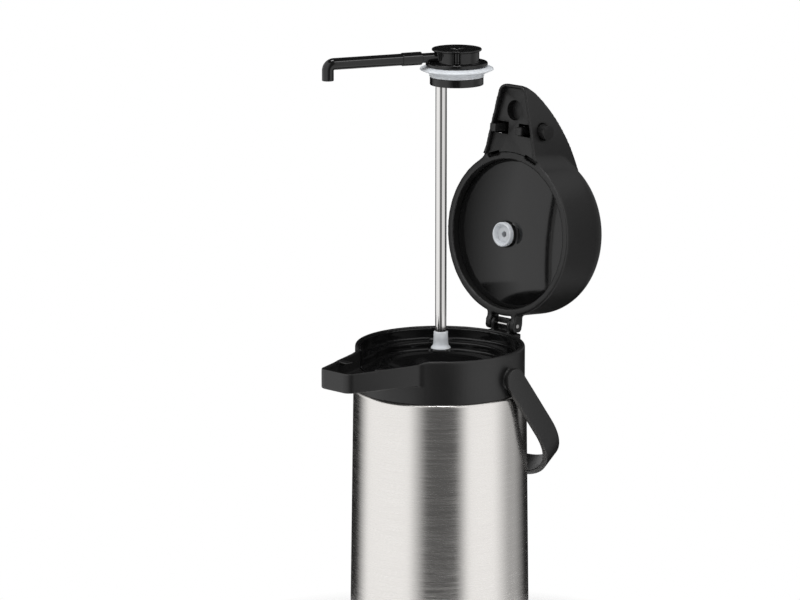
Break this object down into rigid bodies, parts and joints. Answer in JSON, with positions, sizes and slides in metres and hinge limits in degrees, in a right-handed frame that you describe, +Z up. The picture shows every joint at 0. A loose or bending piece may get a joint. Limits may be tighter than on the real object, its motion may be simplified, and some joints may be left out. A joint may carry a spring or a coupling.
{
  "type": "pump vacuum jug",
  "caption": "Steel pump vacuum jug with an open hinged pump lid, a carrying handle and a siphon with its outlet pipe drawn up out of the neck.",
  "frame": {"origin": "centre of the base, on the surface that the jug stands on", "axes": "+Z up, -Y towards the spout, +Y towards the lid hinge"},
  "size_m": [0.1682, 0.2877, 0.5683],
  "materials": {
    "jacket_steel": "brushed",
    "inner_steel": "polished",
    "matte_black": "fine grain",
    "gloss_black": "polished",
    "pale_silicone": "satin",
    "black_rubber": "matte"
  },
  "bodies": {
    "jug": {"outer_shell": "jacket_steel", "shell_bottom": "inner_steel", "inner_liner": "inner_steel", "vacuum_getter": "inner_steel", "base_cup": "matte_black", "grip_pad": "black_rubber", "collar": "matte_black", "collar_funnel": "gloss_black", "neck_seal": "pale_silicone", "hinge_pin": "inner_steel", "handle_studs": "inner_steel"},
    "carry_handle": {"handle": "matte_black"},
    "lid": {"lid_housing": "matte_black", "nose_cover": "matte_black", "pump_base": "gloss_black", "nozzle_seal": "pale_silicone", "bellows": "black_rubber", "bellows_ring": "matte_black", "return_spring": "inner_steel", "latch_spring": "inner_steel"},
    "pump_button": {"push_plate": "matte_black", "inlet_valve": "black_rubber"},
    "left_button": {"latch_button_left": "matte_black"},
    "right_button": {"latch_button_right": "matte_black"},
    "gasket": {"stopper_gasket": "pale_silicone"},
    "siphon": {"stopper_body": "gloss_black", "stopper_cap": "gloss_black", "air_valve": "pale_silicone", "tube_seal": "black_rubber", "dip_tube": "inner_steel", "tube_foot": "pale_silicone", "pipe_sleeve": "gloss_black", "outlet_pipe": "gloss_black"}
  },
  "joints": [
    {"name": "lid_hinge", "type": "hinge", "parent": "jug", "child": "lid", "pos_m": [0, 0.083, 0.305], "axis": [-1, 0, 0], "range_deg": [-22, 0]},
    {"name": "handle_swing", "type": "hinge", "parent": "jug", "child": "carry_handle", "pos_m": [0, 0.012, 0.277], "axis": [1, 0, 0], "range_deg": [0, 62]},
    {"name": "pump_press", "type": "slide", "parent": "lid", "child": "pump_button", "axis": [0, -0.9962, 0.0872], "range_m": [0, 0.025], "stiffness_N_per_m": 800, "deforming": ["bellows", "return_spring"]},
    {"name": "left_button_press", "type": "slide", "parent": "lid", "child": "left_button", "axis": [1, 0, 0], "range_m": [0, 0.0025], "stiffness_N_per_m": 1500},
    {"name": "right_button_press", "type": "slide", "parent": "lid", "child": "right_button", "axis": [-1, 0, 0], "range_m": [0, 0.0025], "stiffness_N_per_m": 1500},
    {"name": "siphon_lift", "type": "slide", "parent": "jug", "child": "gasket", "axis": [0.0182, 0.0565, 0.9982], "range_m": [-0.27448, 0]},
    {"name": "siphon_turn", "type": "hinge", "parent": "gasket", "child": "siphon", "pos_m": [0.005, 0.0155, 0.552], "axis": [0, 0, 1], "range_deg": [0, 22.05]}
  ],
  "couplings": [
    {"joint": "siphon_turn", "follows": "siphon_lift", "rad_per_m": -1.3989}
  ]
}
